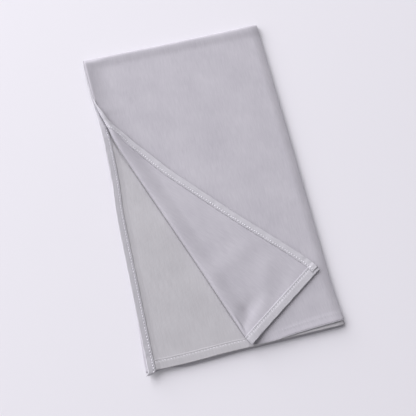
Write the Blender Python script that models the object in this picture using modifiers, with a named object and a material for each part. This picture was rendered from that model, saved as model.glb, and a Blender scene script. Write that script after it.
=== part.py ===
import math

import bmesh
import bpy
import numpy as np

# Folded jersey hijab: one rectangle of cloth with hemmed edges, folded in
# half along its length and in quarters across it, lying flat.  The lower
# left corner of the top layer is turned back over the rest of that layer.
#
# Frame: metres, +Z up, the floor at Z = 0.  +Y is the end with the cross
# folds, -Y the hemmed ends, +X the lengthwise fold, -X the hemmed sides.

MM = 0.001

# Main sizes
PLY = 1.0 * MM
GAP = 0.3 * MM
HIDDEN_PLIES = 6
LOWER_HEIGHT = 6.5 * MM
SIDE_HEM = 9.0 * MM
END_HEM = 12.5 * MM
HEM_PLY = 0.8 * MM
CLOTH_LENGTH = 454.0 * MM
CENTRE_X = -1.85 * MM
CENTRE_Y = 0.29 * MM

# Outline of the hidden layers, in millimetres: a row for each height up
# the sheet, with the left and the right edge there.
SIDE_OUTLINE = [
    # y, left, right
    (232.0, -136.0, 135.6),
    (205.0, -134.6, 135.6),
    (184.0, -132.6, 135.5),
    (144.0, -131.8, 135.4),
    (105.0, -130.4, 135.3),
    (70.0, -131.0, 135.1),
    (30.0, -131.6, 134.9),
    (-5.0, -133.2, 134.6),
    (-60.0, -134.2, 134.0),
    (-119.0, -134.8, 133.4),
    (-171.0, -137.0, 133.2),
    (-201.0, -138.6, 134.0),
    (-233.0, -139.6, 135.9),
]

# Outline of the two ends, in millimetres.
END_OUTLINE = [
    # x, hemmed end, folded end
    (-140.0, -231.6, 231.0),
    (-122.0, -228.6, 231.2),
    (-108.0, -228.4, 231.3),
    (-92.0, -231.4, 231.3),
    (-60.0, -232.4, 231.3),
    (-12.0, -231.8, 231.3),
    (18.0, -232.0, 231.5),
    (57.0, -232.6, 231.9),
    (84.0, -232.8, 232.3),
    (111.0, -233.2, 233.0),
    (136.0, -233.3, 233.9),
]

# How far each hidden ply stands back from the outline, in millimetres,
# from the floor up, at the two ends of each open side.
PLY_STEPS = [
    # left side top, left side bottom, hemmed end left, hemmed end right
    (1.6, 1.1, 1.9, 0.9),
    (0.5, 0.0, 0.0, 1.8),
    (1.9, 0.7, 2.6, 0.0),
    (0.0, 2.2, 1.5, 1.4),
    (1.3, 1.0, 3.2, 0.3),
    (0.4, 2.8, 2.2, 2.0),
]

# Each hidden ply's rounded edge: how far it stands in at each of its rings,
# from the groove below it, over its nose, to the groove above it.
GROOVE = 1.5 * MM
NOSE = 0.4 * MM
PLY_EDGE = (GROOVE, NOSE, 0.0, NOSE)

# The lengthwise folds of the hidden layers, lower and rounder than the rest
RIGHT_FOLDS = 3
RIGHT_EDGE_HEIGHT = 4.3 * MM
RIGHT_ROUNDING = 13.0 * MM
RIGHT_ROUNDING_POWER = 2.2
RIGHT_GROOVE = 0.9 * MM
RIGHT_END_INSET = 0.7 * MM

# Corners of the hidden layers and the rings that close them at the top
CORNER = 3.0 * MM
CORNER_X = 134.0 * MM
SIDE_STEPS = 16
END_STEPS = 12
CAP_INSETS = (3.0 * MM, 6.0 * MM, 9.5 * MM, 14.0 * MM)
CAP_SIDE_INSET = 1.6 * MM
CAP_END_INSET = 2.0 * MM

# Second layer, in millimetres: its side hem's edge and its end hem's edge.
SECOND_SIDE = [
    # y, left
    (232.0, -134.6),
    (200.0, -133.4),
    (160.0, -130.6),
    (118.0, -129.2),
    (70.0, -128.6),
    (30.0, -129.6),
    (-5.0, -132.2),
    (-60.0, -133.2),
    (-120.0, -133.6),
    (-180.0, -134.2),
    (-228.0, -134.6),
]
SECOND_END = [
    # x, hemmed end
    (-134.0, -225.4),
    (-122.0, -226.4),
    (-104.0, -228.2),
    (-80.0, -229.0),
    (-12.0, -228.2),
    (18.0, -229.4),
    (57.0, -230.8),
    (136.0, -232.2),
]

# Hemmed end of the top layer, in millimetres.
TOP_END = [
    # x, hemmed end
    (-10.0, -224.4),
    (5.0, -225.2),
    (20.0, -227.2),
    (35.0, -227.6),
    (58.0, -226.4),
    (85.0, -225.4),
    (112.0, -225.0),
    (136.0, -224.8),
]

# The left margin of the top layer, row by row down the cloth, in
# millimetres and degrees.  start: where the cloth leaves the layer below,
# lean: how far the fold line leans to the right of straight down,
# radius and turn: the roll, rim: the hemmed edge and its rise over the
# layer.
MARGIN = [
    # row, start x, start y, lean, radius, turn, rim x, rim y, rim rise
    (233.0, -121.0, 233.0, 0.0, 22.0, 0.0, -135.4, 233.0, 0.0),
    (225.0, -120.6, 225.0, 0.0, 20.0, 3.0, -134.8, 225.4, 0.3),
    (205.0, -119.4, 205.0, 0.0, 18.0, 8.0, -133.8, 205.4, 1.1),
    (190.0, -118.8, 190.0, 2.0, 16.0, 12.0, -132.7, 190.4, 1.9),
    (178.0, -118.2, 178.0, 3.0, 13.5, 17.0, -131.8, 178.3, 2.8),
    (166.0, -117.9, 166.0, 4.0, 11.0, 25.0, -131.0, 166.2, 3.8),
    (152.0, -117.8, 152.0, 6.0, 8.0, 40.0, -129.0, 152.6, 5.4),
    (142.0, -118.0, 142.0, 8.0, 6.0, 60.0, -126.5, 142.5, 6.7),
    (133.0, -118.7, 133.0, 9.0, 4.4, 84.0, -123.6, 133.4, 7.4),
    (127.0, -119.4, 127.0, 10.0, 3.6, 122.0, -120.4, 127.5, 7.0),
    (121.0, -119.0, 121.2, 11.0, 3.0, 150.0, -115.6, 123.2, 5.6),
    (115.0, -117.8, 115.2, 13.0, 2.5, 166.0, -110.9, 117.4, 4.2),
    (108.0, -116.4, 108.3, 15.0, 2.1, 176.0, -105.4, 110.6, 3.0),
    (96.0, -112.7, 96.4, 18.0, 2.2, 180.0, -98.0, 100.0, 2.5),
    (85.0, -108.7, 85.5, 20.0, 2.2, 180.0, -91.9, 91.8, 2.4),
    (75.0, -104.8, 75.5, 20.2, 2.2, 180.0, -85.6, 83.6, 2.4),
    (52.0, -96.1, 52.5, 20.2, 2.2, 180.0, -72.6, 68.0, 2.4),
    (12.0, -81.3, 12.6, 20.2, 2.3, 180.0, -48.2, 36.6, 2.4),
    (-41.0, -61.8, -40.4, 20.2, 2.3, 180.0, -10.8, -5.4, 2.4),
    (-106.0, -37.9, -105.3, 20.2, 2.4, 180.0, 34.8, -55.4, 2.4),
    (-153.0, -20.7, -152.2, 20.2, 2.5, 180.0, 68.6, -90.4, 2.4),
    (-195.0, -5.2, -194.1, 20.4, 2.7, 180.0, 98.8, -122.0, 2.4),
    (-215.0, 2.0, -214.4, 21.0, 2.8, 180.0, 113.0, -138.2, 2.5),
    (-228.5, 9.0, -225.6, 22.0, 2.8, 180.0, 120.8, -150.4, 2.6),
]
SETTLE = 22.0 * MM
FOLD_MARGIN_ROW = 8.0 * MM
LEAST_HEM_SHARE = 0.35
FOLDED_FROM = 120.0
FOLDED_BY = 180.0
ROLL_CLEARANCE = 1.0 * MM
CORNER_HEM_TOP = 112.0 * MM
SECOND_HEM_TOP = 118.0 * MM

# Soft ridges in the turned-back corner, in millimetres.
RIDGES = [
    # start x, start y, end x, end y, half width, height
    (2.0, -214.0, 34.0, -172.0, 8.0, 1.5),
    (34.0, -172.0, 52.0, -128.0, 11.0, 0.7),
    (-22.0, -126.0, 34.0, -96.0, 12.0, 0.6),
    (50.0, -190.0, 92.0, -146.0, 9.0, 0.5),
]
RIM_CALM = 4.0

# Rows down the cloth, in millimetres, and how far round the cross fold
# the first rows reach, in degrees.
FOLD_ROWS = (112.0, 94.0, 76.0, 58.0, 40.0, 20.0)
ROWS = (
    0.0, 8.0, 22.0, 37.0, 48.0, 58.0, 66.0, 73.0, 79.0, 85.0, 91.0, 97.0,
    103.0, 110.0, 118.0, 128.0, 140.0, 156.0, 175.0, 197.0, 221.0, 246.0,
    271.0, 297.0, 322.0, 347.0, 371.0, 393.0, 412.0, 428.0,
)
SECOND_ROWS = (
    0.0, 14.0, 36.0, 60.0, 88.0, 100.0, 112.0, 130.0, 165.0, 205.0,
    245.0, 285.0, 325.0, 365.0, 400.0, 428.0,
)
END_HEM_SHARES = (1.0, 0.64, 0.32, 0.0)
END_HEM_ROWS = len(END_HEM_SHARES)
LAST_ROW_BLEND = 60.0 * MM

# Columns across the cloth
EDGE_TURNS = 6
EDGE_TURN_ANGLE = math.radians(172.0)
EDGE_STEPS = (0.0, 1.6, 3.8, 6.6, 10.0, 14.0)
MIDDLE_STEPS = 7
ROLL_STEPS = 8
FLAP_STEPS = (0.04, 0.1, 0.18, 0.28, 0.4, 0.54, 0.7, 0.85)
HEM_STEPS = 3
SECOND_STEPS = 11

CLOTH = (0.507, 0.493, 0.552, 1.0)
CLOTH_WRONG = (0.570, 0.556, 0.610, 1.0)
CLOTH_HEM = (0.640, 0.625, 0.680, 1.0)
CLOTH_ROUGHNESS = 0.85
HEM_ROUGHNESS = 0.8
SMOOTH_ANGLE = math.radians(40.0)


def table_value(table, column, at):
    """Smooth value from a table whose first column rises or falls."""
    rows = sorted(table)
    keys = np.array([row[0] for row in rows], float)
    values = np.array([row[column] for row in rows], float)
    slopes = np.gradient(values, keys)
    at = min(max(at, keys[0]), keys[-1])
    i = int(min(max(np.searchsorted(keys, at) - 1, 0), len(keys) - 2))
    span = keys[i + 1] - keys[i]
    t = (at - keys[i]) / span
    a = 2 * t**3 - 3 * t**2 + 1
    b = t**3 - 2 * t**2 + t
    c = -2 * t**3 + 3 * t**2
    d = t**3 - t**2
    rise = b * slopes[i] + d * slopes[i + 1]
    return float(a * values[i] + c * values[i + 1] + rise * span)


def ease(t):
    t = min(max(t, 0.0), 1.0)
    return t * t * (3.0 - 2.0 * t)


def left_edge(y):
    return table_value(SIDE_OUTLINE, 1, y / MM) * MM


def right_edge(y):
    return table_value(SIDE_OUTLINE, 2, y / MM) * MM


def hemmed_end(x):
    return table_value(END_OUTLINE, 1, x / MM) * MM


def folded_end(x):
    return table_value(END_OUTLINE, 2, x / MM) * MM


# The two upper plies and the gaps under them, over the hidden layers
WRAP = 2.0 * (PLY + GAP)


def stack_height(inset):
    """Height of the hidden layers at a distance in from the right edge."""
    t = 1.0 - min(max(inset / RIGHT_ROUNDING, 0.0), 1.0)
    drop = (LOWER_HEIGHT - RIGHT_EDGE_HEIGHT) * t**RIGHT_ROUNDING_POWER
    return LOWER_HEIGHT - drop


def fold_centre(x, height):
    """Where the cross fold starts to round off."""
    return folded_end(x) - WRAP - height / 2.0


def over_stack(x, row, lift):
    """Point at a height over the hidden layers.

    row: ("flat", y) on the flat part or ("fold", angle) round the end.
    """
    kind, value = row
    if kind == "flat":
        height = stack_height(right_edge(value) - x)
        return np.array((x, value, height + lift))
    height = stack_height(right_edge(fold_centre(x, LOWER_HEIGHT)) - x)
    radius = height / 2.0
    normal = np.array((0.0, math.sin(value), math.cos(value)))
    centre = np.array((x, fold_centre(x, height), radius))
    return centre + normal * (radius + lift)


def material(name, colour, roughness):
    mat = bpy.data.materials.new(name)
    mat.use_nodes = True
    shader = mat.node_tree.nodes["Principled BSDF"]
    shader.inputs["Base Color"].default_value = colour
    shader.inputs["Roughness"].default_value = roughness
    mat.diffuse_color = colour
    return mat


def finish(obj, mat):
    bpy.context.view_layer.objects.active = obj
    for modifier in list(obj.modifiers):
        bpy.ops.object.modifier_apply(modifier=modifier.name)
    obj.data.materials.clear()
    obj.data.materials.append(mat)
    obj.data.polygons.foreach_set("use_smooth", [True] * len(obj.data.polygons))
    obj.data.set_sharp_from_angle(angle=SMOOTH_ANGLE)
    obj.data.update()
    return obj


def add_mesh(name, points, faces):
    moved = [(p[0] - CENTRE_X, p[1] - CENTRE_Y, p[2]) for p in points]
    mesh = bpy.data.meshes.new(name)
    mesh.from_pydata(moved, [], faces)
    mesh.update()
    obj = bpy.data.objects.new(name, mesh)
    PARTS.objects.link(obj)
    return obj


def outward(obj):
    bm = bmesh.new()
    bm.from_mesh(obj.data)
    bmesh.ops.recalc_face_normals(bm, faces=bm.faces)
    bm.to_mesh(obj.data)
    bm.free()


def wall(name, grid, thickness, mat):
    """A sheet of cloth from rows of points on its middle surface."""
    columns = len(grid[0])
    points = [p for row in grid for p in row]
    faces = []
    for i in range(len(grid) - 1):
        for j in range(columns - 1):
            a = i * columns + j
            faces.append((a, a + 1, a + columns + 1, a + columns))
    obj = add_mesh(name, points, faces)
    solid = obj.modifiers.new("cloth", "SOLIDIFY")
    solid.thickness = thickness
    solid.offset = 0.0
    solid.use_even_offset = True
    finish(obj, mat)
    outward(obj)
    return obj


def grid_normals(grid):
    """Unit normals of a grid of points, pointing the way the rows climb."""
    p = np.array(grid)
    across = np.gradient(p, axis=1)
    down = np.gradient(p, axis=0)
    normals = np.cross(across, down)
    return normals / np.linalg.norm(normals, axis=2, keepdims=True)


def ridge_height(x, y):
    total = 0.0
    for x0, y0, x1, y1, half_width, height in RIDGES:
        axis = np.array((x1 - x0, y1 - y0)) * MM
        offset = np.array((x - x0 * MM, y - y0 * MM))
        t = float(offset @ axis / (axis @ axis))
        near = axis * min(max(t, 0.0), 1.0)
        distance = float(np.linalg.norm(offset - near)) / (half_width * MM)
        total += height * MM * math.exp(-distance**2)
    return total


def cloth_rows(rows):
    """Rows round the cross fold and then down the flat part."""
    found = [("fold", math.radians(a)) for a in FOLD_ROWS]
    down = [distance * MM for distance in rows]
    down += [CLOTH_LENGTH - END_HEM * share for share in END_HEM_SHARES]
    start = fold_centre(0.0, LOWER_HEIGHT)
    return found + [("flat", start - distance) for distance in down]


def row_at(row, x, end_table):
    """The row at x: on the flat part its last rows follow the end hem."""
    kind, value = row
    if kind == "fold":
        return row
    start = fold_centre(x, stack_height(right_edge(value) - x))
    top = fold_centre(0.0, LOWER_HEIGHT)
    last = top - CLOTH_LENGTH
    end = table_value(end_table, 1, x / MM) * MM
    low = ease((last + LAST_ROW_BLEND - value) / LAST_ROW_BLEND)
    high = ease((value - top + LAST_ROW_BLEND) / LAST_ROW_BLEND)
    return kind, value + low * (end - last) + high * (start - top)


TOP_LIFT = 2.0 * GAP + 1.5 * PLY
SECOND_LIFT = GAP + 0.5 * PLY
FOLD_RADIUS = (TOP_LIFT - SECOND_LIFT) / 2.0


def right_fold(row, end_table):
    """Points of the tight lengthwise fold, from below it to its top."""
    value = row[1] if row[0] == "flat" else fold_centre(0.0, LOWER_HEIGHT)
    x = right_edge(value) - FOLD_RADIUS - 0.5 * PLY
    here = row_at(row, x, end_table)
    points = []
    for k in range(EDGE_TURNS):
        turn = EDGE_TURN_ANGLE * (1.0 - k / EDGE_TURNS)
        lift = SECOND_LIFT + FOLD_RADIUS * (1.0 + math.cos(turn))
        point = over_stack(x, here, lift)
        point[0] += FOLD_RADIUS * math.sin(turn)
        points.append(point)
    return points


def margin_at(row_value, column):
    return table_value(MARGIN, column, row_value / MM)


def top_row(row):
    """One row of the top layer, from the lengthwise fold to its rim."""
    flat = row[0] == "flat"
    centre = fold_centre(0.0, LOWER_HEIGHT)
    value = row[1] if flat else centre + FOLD_MARGIN_ROW
    points = right_fold(row, TOP_END)
    edge = right_edge(row[1] if flat else centre) - FOLD_RADIUS - 0.5 * PLY
    start_x = margin_at(value, 1) * MM
    start_y = margin_at(value, 2) * MM
    lean = math.radians(margin_at(value, 3))
    radius = margin_at(value, 4) * MM
    turn = math.radians(margin_at(value, 5))
    columns = [edge - step * MM for step in EDGE_STEPS]
    inner = columns[-1]
    for k in range(1, MIDDLE_STEPS + 1):
        columns.append(inner + (start_x - inner) * k / MIDDLE_STEPS)
    for x in columns:
        here = row_at(row, x, TOP_END)
        if flat:
            toward = ease((inner - x) / (inner - start_x))
            end = row_at(row, start_x, TOP_END)[1]
            here = ("flat", here[1] + toward * (start_y - end))
        points.append(over_stack(x, here, TOP_LIFT))
    rim = np.array((margin_at(value, 6), margin_at(value, 7), 0.0)) * MM
    rise = margin_at(value, 8) * MM
    if not flat:
        count = ROLL_STEPS + len(FLAP_STEPS) + HEM_STEPS
        for k in range(1, count + 1):
            x = start_x + (rim[0] - start_x) * k / count
            points.append(over_stack(x, row, TOP_LIFT))
        return points
    base = points[-1].copy()
    out = np.array((-math.cos(lean), -math.sin(lean), 0.0))
    along = np.array((math.sin(lean), -math.cos(lean), 0.0))
    up = np.array((0.0, 0.0, 1.0))
    for k in range(1, ROLL_STEPS + 1):
        angle = turn * k / ROLL_STEPS
        point = base + out * radius * math.sin(angle)
        point += up * radius * (1.0 - math.cos(angle))
        point -= along * radius * angle * math.tan(lean)
        points.append(point)
    end = points[-1]
    rim[2] = base[2] + rise
    width = float(np.linalg.norm(rim[:2] - end[:2]))
    length = float(np.linalg.norm(rim - end))
    hem_share = max(1.0 - SIDE_HEM / length, LEAST_HEM_SHARE)
    shares = [share * hem_share / FLAP_STEPS[-1] for share in FLAP_STEPS]
    for k in range(1, HEM_STEPS + 1):
        shares.append(hem_share + (1.0 - hem_share) * k / HEM_STEPS)
    folded = ease((math.degrees(turn) - FOLDED_FROM) / (FOLDED_BY - FOLDED_FROM))
    settle = min(width, SETTLE)
    for share in shares:
        point = end + (rim - end) * share
        rested = ease(share * width / max(settle, MM))
        drop = (end[2] - rim[2]) * (1.0 - rested) + rim[2]
        point[2] += folded * (drop - point[2])
        calm = min(1.0, RIM_CALM * (1.0 - share))
        point[2] += folded * ridge_height(point[0], point[1]) * calm
        points.append(point)
    return points


def second_row(row):
    """One row of the second layer, from the lengthwise fold to its rim."""
    flat = row[0] == "flat"
    centre = fold_centre(0.0, LOWER_HEIGHT)
    value = row[1] if flat else centre
    edge = right_edge(value) - FOLD_RADIUS - 0.5 * PLY - GAP
    left = table_value(SECOND_SIDE, 1, value / MM) * MM
    hem = left + SIDE_HEM
    columns = [edge - step * MM for step in EDGE_STEPS]
    inner = columns[-1]
    for k in range(1, SECOND_STEPS + 1):
        columns.append(inner + (hem - inner) * k / SECOND_STEPS)
    for k in range(1, HEM_STEPS + 1):
        columns.append(hem + (left - hem) * k / HEM_STEPS)
    points = []
    for x in columns:
        here = row_at(row, x, SECOND_END)
        points.append(over_stack(x, here, SECOND_LIFT))
    return points


HEM_LIFT = 0.5 * PLY + GAP + 0.5 * HEM_PLY


def strip(name, grid, normals, rows, columns, trim, mat):
    """A turned hem that lies on a sheet: its points, moved out.

    trim: how far short of its last column the strip ends.
    """
    found = []
    for i in rows:
        line = [grid[i][j] + normals[i][j] * HEM_LIFT for j in columns]
        back = line[-2] - line[-1]
        line[-1] = line[-1] + back * trim / np.linalg.norm(back)
        found.append(line)
    return wall(name, found, HEM_PLY, mat)


def second_strip(name, rows, edges, steps, mat):
    """A turned hem on the second layer, between two edges of each row."""
    found = []
    for row in rows:
        start, end = edges(row[1])
        line = []
        for k in range(steps + 1):
            x = start + (end - start) * k / steps
            here = row_at(row, x, SECOND_END)
            line.append(over_stack(x, here, SECOND_LIFT + HEM_LIFT))
        found.append(line)
    return wall(name, found, HEM_PLY, mat)


def second_side(y):
    """The second layer's side hem: its turned edge and its rim."""
    left = table_value(SECOND_SIDE, 1, y / MM) * MM
    return left + SIDE_HEM, left


def second_end(y):
    """The second layer's end hem, from the roll to its side hem."""
    radius = margin_at(y, 4) * MM
    roll = margin_at(y, 1) * MM - radius - 0.5 * PLY - ROLL_CLEARANCE
    return roll, second_side(y)[0] + GAP


def side_profile():
    """Rings of the hidden layers, from the floor up.

    Returns for each ring the inset at the left side's two ends and the
    hemmed end's two ends, its height there, the inset and the height at the
    right side, and how far in and how high it is round the folded end.
    """
    count = len(PLY_EDGE) * HIDDEN_PLIES
    rings = []
    for k in range(count + 1):
        ply = min(k // len(PLY_EDGE), HIDDEN_PLIES - 1)
        level = k / count
        edge = PLY_EDGE[k % len(PLY_EDGE)]
        groove = 1.0 - abs(math.sin(level * RIGHT_FOLDS * math.pi))
        right = RIGHT_GROOVE * groove
        if k in (0, count):
            edge = NOSE
            right = RIGHT_END_INSET
        open_sides = [step * MM + edge for step in PLY_STEPS[ply]]
        z = level * LOWER_HEIGHT
        turn = math.pi * level
        folded = (1.0 - math.sin(turn)) / 2.0
        folded_z = (1.0 - math.cos(turn)) / 2.0
        rings.append((open_sides, z, right, level * RIGHT_EDGE_HEIGHT,
                      folded, folded_z))
    return rings


def hidden_ring(open_sides, z, right, right_z, folded, folded_z):
    """One closed ring round the hidden layers."""
    left_top, left_low, end_left, end_right = open_sides
    points = []
    y_top = fold_centre(0.0, LOWER_HEIGHT)

    def folded_point(x):
        height = stack_height(right_edge(y_top) - x)
        y = fold_centre(x, height) + height / 2.0 - folded * height
        return np.array((x, y, folded_z * height))

    y_low = hemmed_end(-CORNER_X)
    y_right = hemmed_end(CORNER_X)
    for k in range(SIDE_STEPS + 1):
        t = k / SIDE_STEPS
        y = (y_top - CORNER) + (y_low + CORNER - y_top + CORNER) * t
        inset = left_top + (left_low - left_top) * t
        points.append(np.array((left_edge(y) + inset, y, z)))
    x_left = left_edge(y_low) + CORNER
    x_right = right_edge(y_right) - CORNER
    for k in range(END_STEPS + 1):
        t = k / END_STEPS
        x = x_left + (x_right - x_left) * t
        inset = end_left + (end_right - end_left) * t
        height = z * stack_height(right_edge(y_right) - x) / LOWER_HEIGHT
        points.append(np.array((x, hemmed_end(x) + inset, height)))
    for k in range(SIDE_STEPS + 1):
        t = k / SIDE_STEPS
        y = y_right + CORNER + (y_top - CORNER - y_right - CORNER) * t
        points.append(np.array((right_edge(y) - right, y, right_z)))
    x_right = right_edge(y_top) - CORNER
    x_left = left_edge(y_top) + CORNER
    for k in range(END_STEPS + 1):
        t = k / END_STEPS
        points.append(folded_point(x_right + (x_left - x_right) * t))
    return points


def hidden_layers(mat):
    """The layers below the second one, as one solid with layered edges."""
    rings = [hidden_ring(*values) for values in side_profile()]
    last = rings[-1]
    for inset in CAP_INSETS:
        ring = []
        for point in last:
            x, y = point[0], point[1]
            low_y = hemmed_end(x) + inset + CAP_END_INSET
            high_y = fold_centre(x, LOWER_HEIGHT) - inset
            left_x = left_edge(y) + inset + CAP_SIDE_INSET
            right_x = right_edge(y) - inset
            x = min(max(x, left_x), right_x)
            y = min(max(y, low_y), high_y)
            height = stack_height(right_edge(y) - x)
            ring.append(np.array((x, y, height)))
        rings.append(ring)
    size = len(rings[0])
    points = [p for ring in rings for p in ring]
    faces = []
    for i in range(len(rings) - 1):
        for j in range(size):
            a = i * size + j
            b = i * size + (j + 1) % size
            faces.append((a, b, b + size, a + size))
    faces.append(tuple(reversed(range(size))))
    top = (len(rings) - 1) * size
    faces.append(tuple(range(top, top + size)))
    obj = add_mesh("lower_layers", points, faces)
    outward(obj)
    return finish(obj, mat)


for old in list(bpy.data.objects):
    bpy.data.objects.remove(old, do_unlink=True)

PARTS = bpy.data.collections.new("folded_hijab")
bpy.context.scene.collection.children.link(PARTS)

cloth = material("jersey", CLOTH, CLOTH_ROUGHNESS)
wrong_side = material("jersey_wrong_side", CLOTH_WRONG, CLOTH_ROUGHNESS)
hem = material("jersey_hem", CLOTH_HEM, HEM_ROUGHNESS)

# Top layer with the lengthwise fold, the cross fold and the turned corner
top_rows = cloth_rows(ROWS)
top_grid = [top_row(row) for row in top_rows]
wall("top_layer", top_grid, PLY, cloth)

# Hems turned to the wrong side, which shows on the turned corner
top_normals = -grid_normals(top_grid)
rim_column = len(top_grid[0]) - 1
hem_column = rim_column - HEM_STEPS
crest_column = hem_column - len(FLAP_STEPS) - ROLL_STEPS // 2 + 1
side_rows = []
for i, row in enumerate(top_rows):
    if row[0] == "flat" and row[1] < CORNER_HEM_TOP:
        side_rows.append(i)
end_rows = range(len(top_rows) - END_HEM_ROWS, len(top_rows))
side_columns = range(hem_column, rim_column + 1)
end_columns = range(crest_column, hem_column + 1)
strip("corner_side_hem", top_grid, top_normals, side_rows, side_columns,
      0.0, hem)
strip("corner_end_hem", top_grid, top_normals, end_rows, end_columns,
      GAP, hem)

# Second layer, wrong side up, and its own two hems
second_rows = cloth_rows(SECOND_ROWS)
second_grid = [second_row(row) for row in second_rows]
wall("second_layer", second_grid, PLY, wrong_side)
shown = [row for row in second_rows
         if row[0] == "flat" and row[1] < SECOND_HEM_TOP]
second_strip("second_side_hem", shown, second_side, HEM_STEPS, hem)
second_strip("second_end_hem", second_rows[-END_HEM_ROWS:], second_end,
             SECOND_STEPS, hem)

hidden_layers(cloth)
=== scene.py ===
import math

import bpy
import numpy as np
from mathutils import Matrix


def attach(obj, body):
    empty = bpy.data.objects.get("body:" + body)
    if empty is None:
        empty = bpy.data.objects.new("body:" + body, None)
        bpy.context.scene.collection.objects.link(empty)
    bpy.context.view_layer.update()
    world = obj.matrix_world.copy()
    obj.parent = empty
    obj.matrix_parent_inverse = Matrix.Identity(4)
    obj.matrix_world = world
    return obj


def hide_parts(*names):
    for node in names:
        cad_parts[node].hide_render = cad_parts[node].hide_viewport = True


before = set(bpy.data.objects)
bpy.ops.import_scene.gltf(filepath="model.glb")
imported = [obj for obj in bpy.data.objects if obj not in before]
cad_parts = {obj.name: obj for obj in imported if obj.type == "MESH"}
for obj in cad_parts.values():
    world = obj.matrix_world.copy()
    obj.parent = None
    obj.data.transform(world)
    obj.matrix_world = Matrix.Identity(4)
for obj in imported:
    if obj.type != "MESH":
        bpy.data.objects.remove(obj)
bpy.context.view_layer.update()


# Camera.
# It looks down on the folded scarf from the hemmed end, 77 degrees up, and
# the picture is turned so that the pack leans to the left.
CAMERA_AT = (-0.0658, -0.1781, 0.6935)  # metres, from the pack's middle
CAMERA_RIGHT = (0.9703, -0.2396, 0.0345)
CAMERA_UP = (0.2263, 0.9484, 0.2222)
CAMERA_BACK = (-0.0859, -0.2078, 0.9744)

camera_data = bpy.data.cameras.new("camera")
camera_data.sensor_width = 36.0
camera_data.lens = 43.27
camera_data.clip_start = 0.01
camera = bpy.data.objects.new("camera", camera_data)
axes = Matrix((CAMERA_RIGHT, CAMERA_UP, CAMERA_BACK)).transposed()
camera.matrix_world = Matrix.Translation(CAMERA_AT) @ axes.to_4x4()
bpy.context.collection.objects.link(camera)
bpy.context.scene.camera = camera
bpy.context.scene.view_settings.view_transform = "Standard"


# The six plies below.
# Plain jersey under the two layers that show, pressed flat by folding: soft
# folds at the right and at the far end, stepped hemmed edges at the others.
MM = 0.001
CENTRE_X = -1.85 * MM  # the pack's middle, in the drawing that the tables
CENTRE_Y = 0.29 * MM   # are taken from
STACK_HEIGHT = 6.5 * MM
STACK_PLIES = 6

STACK_SIDES = [
    # y, left, right
    (232.0, -136.0, 135.6),
    (205.0, -134.6, 135.6),
    (184.0, -132.6, 135.5),
    (144.0, -131.8, 135.4),
    (105.0, -130.4, 135.3),
    (70.0, -131.0, 135.1),
    (30.0, -131.6, 134.9),
    (-5.0, -133.2, 134.6),
    (-60.0, -134.2, 134.0),
    (-119.0, -134.8, 133.4),
    (-171.0, -137.0, 133.2),
    (-201.0, -138.6, 134.0),
    (-233.0, -139.6, 135.9),
]
STACK_ENDS = [
    # x, hemmed end, folded end
    (-140.0, -231.6, 231.0),
    (-122.0, -228.6, 231.2),
    (-108.0, -228.4, 231.3),
    (-92.0, -231.4, 231.3),
    (-60.0, -232.4, 231.3),
    (-12.0, -231.8, 231.3),
    (18.0, -232.0, 231.5),
    (57.0, -232.6, 231.9),
    (84.0, -232.8, 232.3),
    (111.0, -233.2, 233.0),
    (136.0, -233.3, 233.9),
]
STACK_STEPS = [
    # how far each ply is set back, lowest ply first: on the left side at its
    # far and near end, then on the hemmed end at its left and right
    (0.4, 1.1, 1.2, 0.2),
    (0.0, 0.0, 0.0, 0.0),
    (1.4, 0.7, 4.2, 3.6),
    (0.8, 2.2, 2.8, 3.6),
    (2.0, 1.0, 4.2, 4.0),
    (3.6, 2.8, 5.0, 4.6),
]
STACK_RIGHT_HEIGHT = 3.2 * MM  # at the lengthwise fold
STACK_ROUNDING = 15.0 * MM     # how far in from there the top slopes
STACK_CORNER = 3.0 * MM        # left free at each corner
UPPER_PLIES = 3.0 * MM         # what the two plies above take at the cross fold
HIDDEN_DROP = 0.9 * MM         # how far the unseen top is sunk
PLY_NOSE = 1.5 * MM            # how far an edge rounds back, above and below
FOLD_PINCH = 0.9 * MM          # depth of the lines between the folds at the right
FLAT_NOSE = 0.5 * MM           # the same two at the very bottom and top
FLAT_PINCH = 0.7 * MM
RIGHT_FOLDS = 3
PLY_WAVE = 0.25 * MM           # how far an edge wanders
CORNER_X = 134.0 * MM          # where the hemmed end meets the two sides
HEMMED_Y = -230.0 * MM         # that end, near enough
LEFT_POINTS, END_POINTS, RIGHT_POINTS = 150, 90, 110
LEVELS = 8                     # rings to a ply
TOP_INSETS = (0.8, 2.0, 3.5, 5.5, 8.0, 11.0, 14.0)
TOP_STEP_SIDE, TOP_STEP_END = 2.2 * MM, 2.4 * MM

# The furrow that the turned corner's fold presses into the layers below it.
FURROW = [
    # y, x, depth
    (172.0, -132.4, 0.0),
    (166.0, -132.0, 0.6),
    (160.0, -131.3, 1.4),
    (154.0, -130.2, 2.2),
    (149.0, -129.0, 2.8),
    (142.0, -127.2, 3.2),
    (134.0, -125.4, 3.4),
    (126.0, -123.0, 3.4),
    (118.0, -121.0, 3.4),
    (110.0, -119.2, 3.2),
    (100.0, -116.6, 2.8),
    (85.0, -112.2, 2.4),
    (75.0, -108.8, 2.0),
    (52.0, -100.2, 1.5),
    (12.0, -85.1, 1.3),
    (-41.0, -65.1, 1.2),
    (-106.0, -40.8, 1.2),
    (-153.0, -23.7, 1.2),
    (-195.0, -8.4, 1.2),
    (-212.0, -1.8, 0.9),
    (-224.0, 3.0, 0.3),
]
FURROW_WIDTH = 1.1 * MM
FURROW_BELOW = 4.0 * MM  # its width in the plies under the second layer


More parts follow.
